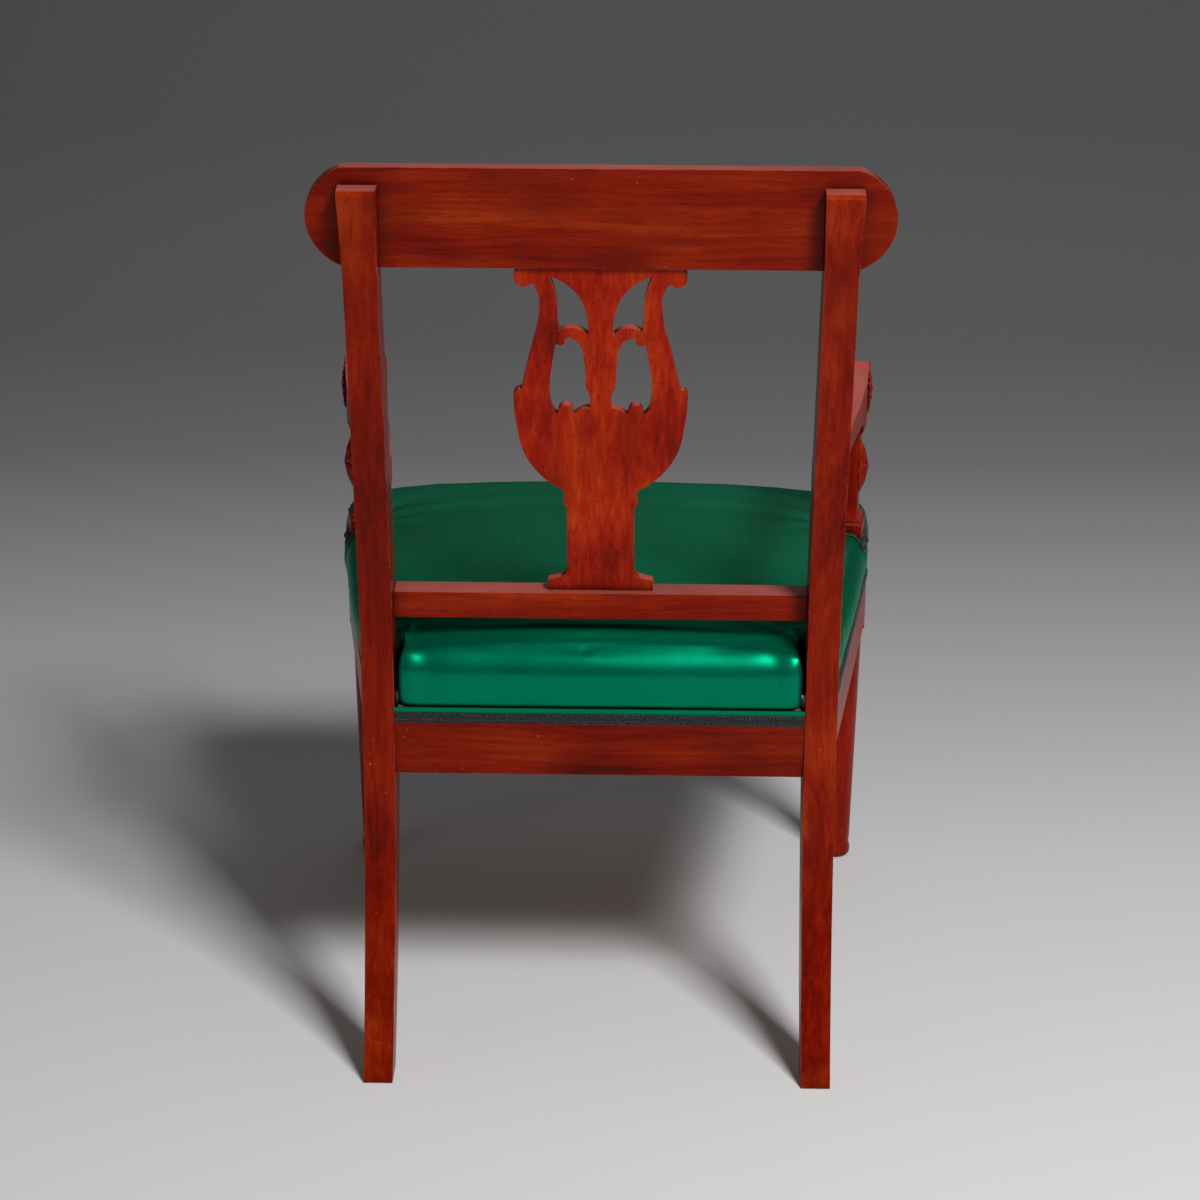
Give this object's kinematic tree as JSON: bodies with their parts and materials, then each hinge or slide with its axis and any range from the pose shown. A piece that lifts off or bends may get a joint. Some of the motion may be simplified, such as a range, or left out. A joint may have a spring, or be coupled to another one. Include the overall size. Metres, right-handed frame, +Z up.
{
  "type": "lyre back armchair",
  "caption": "Mahogany armchair with a pierced lyre splat, sabre rear legs, turned front legs, scrolled arms and an overstuffed satin seat.",
  "frame": {"origin": "middle of the chair's bounding box, at floor level", "axes": "+Z up, +Y towards the back, the sitter faces -Y, +X to the sitter's left"},
  "size_m": [0.579, 0.5588, 0.8889],
  "materials": {
    "mahogany": "french polished, worn at the edges",
    "beech": "plain",
    "satin": "satin weave with a soft sheen",
    "horsehair": "matted",
    "hessian": "coarse plain weave",
    "webbing": "herringbone weave",
    "braid": "woven gimp",
    "steel": "dull, blued"
  },
  "bodies": {
    "root": {"rear_leg_left": "mahogany", "rear_leg_right": "mahogany", "crest_rail": "mahogany", "cross_rail": "mahogany", "lyre_splat": "mahogany", "rear_seat_rail": "mahogany", "front_seat_rail": "mahogany", "side_seat_rail_left": "mahogany", "side_seat_rail_right": "mahogany", "front_leg_left": "mahogany", "front_leg_right": "mahogany", "arm_post_left": "mahogany", "arm_post_right": "mahogany", "arm_left": "mahogany", "arm_right": "mahogany", "arm_ornament_left": "mahogany", "arm_ornament_right": "mahogany", "crest_dowels": "beech", "corner_block_front_left": "beech", "corner_block_front_right": "beech", "corner_block_rear_left": "beech", "corner_block_rear_right": "beech", "seat_cover": "satin", "seat_stuffing": "horsehair", "seat_hessian": "hessian", "webbing_front_to_back": "webbing", "webbing_side_to_side": "webbing", "braid_rear": "braid", "braid_front": "braid", "braid_post_left": "braid", "braid_post_right": "braid", "webbing_tacks": "steel", "corner_block_screws": "steel"}
  },
  "joints": []
}
